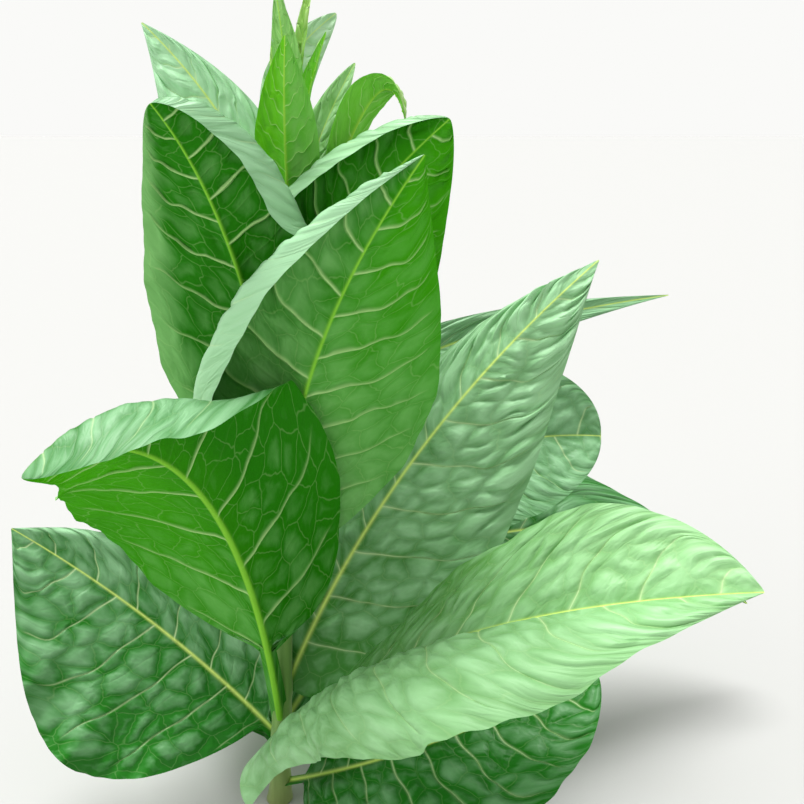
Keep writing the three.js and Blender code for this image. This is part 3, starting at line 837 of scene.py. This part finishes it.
# %% [markdown]
# ## The stem
# The stem is thick, green and faintly ribbed, with a swelling under every leaf and a flare over the
# roots. A curve with a round bevel would tilt its sections and its foot. So a cylinder with many rings is
# bent to the stem's line by Geometry Nodes: all its sections stay level and its foot stays flat on the
# ground. The feet of the leaves are the tree's input, as points, and the swellings form round them.

# %% Stem bark
STREAK_STRETCH = (90.0, 90.0, 6.0)
LOW_BARK_TOP = 0.12
LOW_BARK_SHARE = 0.55


def stem_bark():
    """The soft bark of a green stem."""
    material = new_material("Tobacco stem, green bark")
    tree = material.node_tree
    place = add(tree, "ShaderNodeTexCoord").outputs["Object"]
    long_way = add(tree, "ShaderNodeMapping", {"Vector": place, "Scale": STREAK_STRETCH})
    streaks = add(tree, "ShaderNodeTexNoise", {"Vector": long_way, "Scale": 1.0, "Detail": 5.0})
    height = add(tree, "ShaderNodeSeparateXYZ", {0: place}).outputs["Z"]
    low = add(tree, "ShaderNodeMapRange", {
        0: height, 1: 0.0, 2: LOW_BARK_TOP, 3: LOW_BARK_SHARE, 4: 0.0})
    green = add(tree, "ShaderNodeMix", {"Factor": streaks, "A": linear("#4f7f35"), "B": linear("#a3c873")},
                data_type="RGBA")
    colour = add(tree, "ShaderNodeMix", {"Factor": low, "A": green, "B": linear("#7c7448")},
                 data_type="RGBA")
    relief = add(tree, "ShaderNodeBump", {"Height": streaks, "Strength": 0.4, "Distance": MM})
    surface = add(tree, "ShaderNodeBsdfPrincipled", {
        "Base Color": colour, "Roughness": 0.55, "Specular IOR Level": 0.35, "Sheen Weight": 0.2,
        "Sheen Roughness": 0.4, "Normal": relief})
    add(tree, "ShaderNodeOutputMaterial", {"Surface": surface})
    return material


# Green bark is soft and slightly downy. The eye sees paler streaks along it, about a centimetre wide and
# much longer, and a browner, woody foot.
bark = stem_bark()
print("bark", bark.name)

# %% Geometry Nodes tree of the stem
STEM_SIDES = 56
STEM_RINGS = 300
RIB_STRETCH = 3.0
RIB_SCALE = 4.0
STEM_SIZES = {
    "Height": STEM_HEIGHT, "Sway": STEM_SWAY, "Tip Radius": STEM_TIP_RADIUS,
    "Body Radius": STEM_BODY_RADIUS, "Flare": FLARE, "Flare Height": FLARE_HEIGHT,
    "Node Swelling": 2.2, "Node Reach": 16, "Rib Depth": 0.5,
}


def stem_tree():
    """The tree that bends a cylinder to the stem's line and swells it at the leaves' feet."""
    tree = bpy.data.node_groups.new("stem", "GeometryNodeTree")
    socket(tree, "Leaf Feet", "NodeSocketGeometry")
    for name, size in STEM_SIZES.items():
        socket(tree, name, "NodeSocketFloat", size * MM)
    socket(tree, "Lean", "NodeSocketFloat", STEM_LEAN)
    socket(tree, "Taper", "NodeSocketFloat", STEM_TAPER)
    socket(tree, "Bark", "NodeSocketMaterial")
    tree.interface.new_socket("Stem", in_out="OUTPUT", socket_type="NodeSocketGeometry")
    given = add(tree, "NodeGroupInput").outputs

    tube = add(tree, "GeometryNodeMeshCylinder", {
        "Vertices": STEM_SIDES, "Side Segments": STEM_RINGS, "Radius": 1.0, "Depth": given["Height"]})
    here = add(tree, "ShaderNodeSeparateXYZ", {0: add(tree, "GeometryNodeInputPosition")})
    z = add(tree, "ShaderNodeMath", {0: given["Height"], 1: 0.5, 2: here.outputs["Z"]},
            operation="MULTIPLY_ADD")
    share = add(tree, "ShaderNodeMath", {0: z, 1: given["Height"]}, operation="DIVIDE")
    left = add(tree, "ShaderNodeMath", {0: 1.0, 1: share}, operation="SUBTRACT")
    left = add(tree, "ShaderNodeMath", {0: left, 1: 0.0}, operation="MAXIMUM")
    taper = add(tree, "ShaderNodeMath", {0: left, 1: given["Taper"]}, operation="POWER")
    body = add(tree, "ShaderNodeMath", {0: given["Body Radius"], 1: taper}, operation="MULTIPLY")
    fall = add(tree, "ShaderNodeMath", {0: z, 1: given["Flare Height"]}, operation="DIVIDE")
    fall = add(tree, "ShaderNodeMath", {0: fall, 1: -1.0}, operation="MULTIPLY")
    fall = add(tree, "ShaderNodeMath", {0: fall}, operation="EXPONENT")
    flare = add(tree, "ShaderNodeMath", {0: given["Flare"], 1: fall}, operation="MULTIPLY")
    radius = add(tree, "ShaderNodeMath", {0: given["Tip Radius"], 1: body}, operation="ADD")
    radius = add(tree, "ShaderNodeMath", {0: radius, 1: flare}, operation="ADD")

    middle_x = add(tree, "ShaderNodeMath", {0: z, 1: given["Lean"]}, operation="MULTIPLY")
    turn = add(tree, "ShaderNodeMath", {0: share, 1: 2 * math.pi}, operation="MULTIPLY")
    turn = add(tree, "ShaderNodeMath", {0: turn}, operation="SINE")
    middle_y = add(tree, "ShaderNodeMath", {0: turn, 1: given["Sway"]}, operation="MULTIPLY")

    def placed(size):
        x = add(tree, "ShaderNodeMath", {0: here.outputs["X"], 1: size, 2: middle_x},
                operation="MULTIPLY_ADD")
        y = add(tree, "ShaderNodeMath", {0: here.outputs["Y"], 1: size, 2: middle_y},
                operation="MULTIPLY_ADD")
        return add(tree, "ShaderNodeCombineXYZ", {"X": x, "Y": y, "Z": z})

    nearest = add(tree, "GeometryNodeProximity", {
        "Geometry": given["Leaf Feet"], "Sample Position": placed(radius)}, target_element="POINTS")
    ratio = add(tree, "ShaderNodeMath", {0: nearest.outputs["Distance"], 1: given["Node Reach"]},
                operation="DIVIDE")
    swelling = add(tree, "ShaderNodeMath", {0: ratio, 1: ratio}, operation="MULTIPLY")
    swelling = add(tree, "ShaderNodeMath", {0: swelling, 1: -1.0}, operation="MULTIPLY")
    swelling = add(tree, "ShaderNodeMath", {0: swelling}, operation="EXPONENT")
    radius = add(tree, "ShaderNodeMath", {0: swelling, 1: given["Node Swelling"], 2: radius},
                 operation="MULTIPLY_ADD")

    stretched = add(tree, "ShaderNodeMath", {0: z, 1: RIB_STRETCH}, operation="MULTIPLY")
    long_way = add(tree, "ShaderNodeCombineXYZ", {
        "X": here.outputs["X"], "Y": here.outputs["Y"], "Z": stretched})
    ribs = add(tree, "ShaderNodeTexNoise", {"Vector": long_way, "Scale": RIB_SCALE, "Detail": 2.0})
    centred = add(tree, "ShaderNodeMath", {0: ribs.outputs[0], 1: 0.5}, operation="SUBTRACT")
    radius = add(tree, "ShaderNodeMath", {0: centred, 1: given["Rib Depth"], 2: radius},
                 operation="MULTIPLY_ADD")

    bent = add(tree, "GeometryNodeSetPosition", {
        "Geometry": tube.outputs["Mesh"], "Position": placed(radius)})
    smoothed = add(tree, "GeometryNodeSetShadeSmooth", {"Geometry": bent})
    real = add(tree, "GeometryNodeRealizeInstances", {"Geometry": smoothed})
    coated = add(tree, "GeometryNodeSetMaterial", {"Geometry": real, "Material": given["Bark"]})
    add(tree, "NodeGroupOutput", {"Stem": coated})
    return tree


stem_growth = stem_tree()
print("tree", stem_growth.name, "with", len(stem_growth.nodes), "nodes")

# %% Grow the stem
feet = []
for leaf in leaves:
    azimuth = math.radians(leaf["azimuth"])
    direction = np.array([math.cos(azimuth), math.sin(azimuth), 0])
    feet.append(tuple((stem_axis(leaf["at"]) + direction * stem_radius(leaf["at"])) * MM))
feet_mesh = bpy.data.meshes.new("leaf feet")
feet_mesh.from_pydata(feet, [], [])
stem = grown("stem_bark", feet_mesh, stem_growth, {"Bark": bark})
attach(stem, "root")
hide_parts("stem")
print("stem faces", len(stem.data.polygons))
